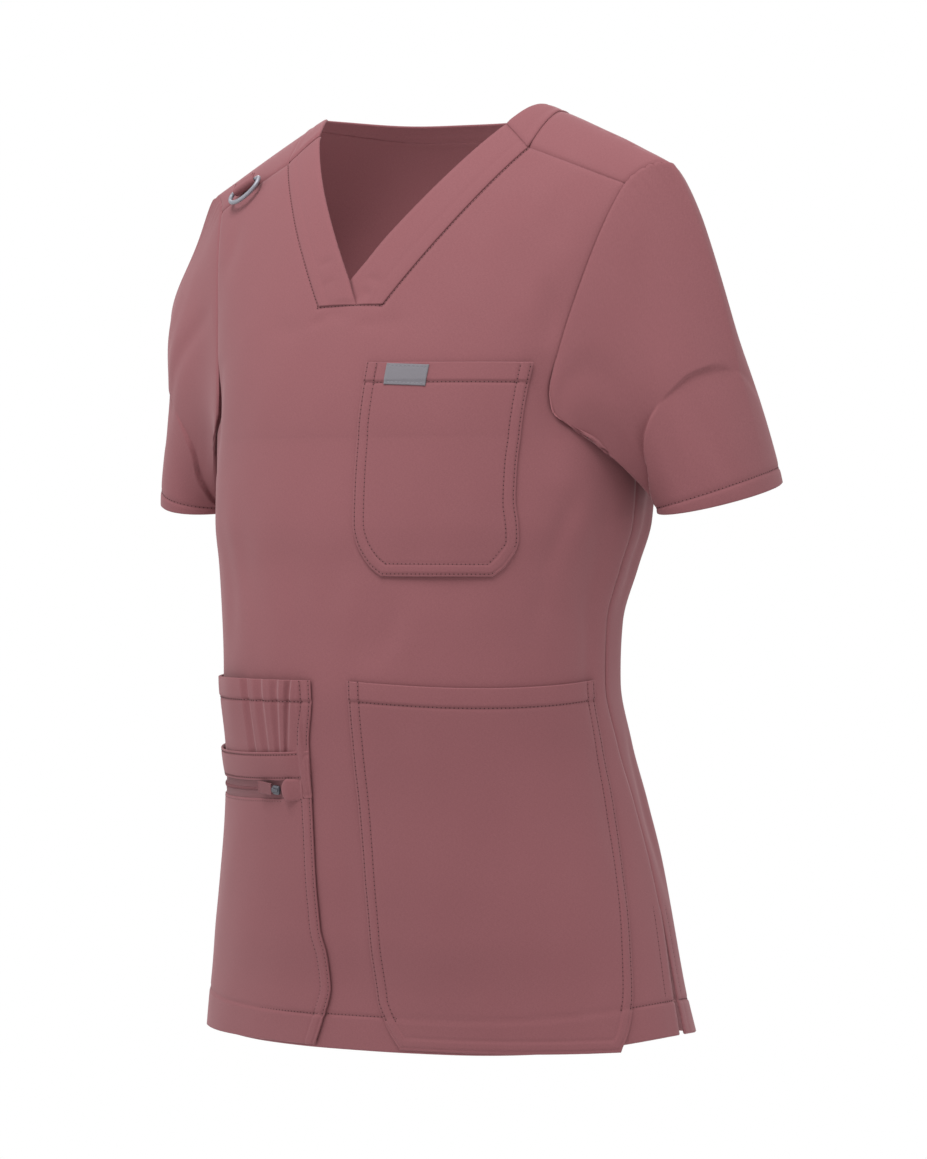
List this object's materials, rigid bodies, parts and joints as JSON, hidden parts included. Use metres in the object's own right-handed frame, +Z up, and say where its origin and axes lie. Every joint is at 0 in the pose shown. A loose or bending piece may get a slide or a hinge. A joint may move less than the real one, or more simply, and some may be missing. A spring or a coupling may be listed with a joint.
{
  "type": "medical scrub top",
  "caption": "Short-sleeved V-neck scrub top in its worn, hollow form, with patch pockets, a gathered pen pocket over a zip pocket, a shoulder ring and side vents.",
  "frame": {"origin": "between the two neck points on top of the shoulders, where the wearer's shoulders carry the top", "axes": "+Z up, -Y out of the front, +X to the wearer's left"},
  "size_m": [0.4934, 0.2814, 0.649],
  "materials": {
    "twill": "matt stretch twill, dusty rose",
    "pocket_twill": "matt stretch twill, dusty rose",
    "band_twill": "matt stretch twill, dusty rose",
    "zip_tape": "matt woven tape",
    "grey_weave": "woven label, satin",
    "grey_metal": "satin grey"
  },
  "bodies": {
    "top": {"front_body": "twill", "back_body": "twill", "sleeve_left": "twill", "sleeve_right": "twill", "neckband_front_left": "band_twill", "neckband_front_right": "band_twill", "neckband_back": "band_twill", "chest_pocket": "pocket_twill", "pocket_label": "grey_weave", "hip_pocket_left": "pocket_twill", "pen_pocket_right": "pocket_twill", "zip_pocket_band": "pocket_twill", "zip_pocket_body": "pocket_twill", "zip_tape": "zip_tape", "zip_slider": "grey_metal", "zip_garage": "pocket_twill", "ring_loop": "band_twill"},
    "ring": {"shoulder_ring": "grey_metal"},
    "pull": {"zip_pull": "zip_tape"}
  },
  "joints": [
    {"name": "ring_swing", "type": "hinge", "parent": "top", "child": "ring", "pos_m": [-0.13884, -0.022, -0.0505], "axis": [-0.9048, 0.1973, -0.3774], "range_deg": [0, 150]},
    {"name": "pull_swing", "type": "hinge", "parent": "top", "child": "pull", "pos_m": [-0.05386, -0.11304, -0.47242], "axis": [0.0627, -0.1708, 0.9833], "range_deg": [0, 110]}
  ]
}
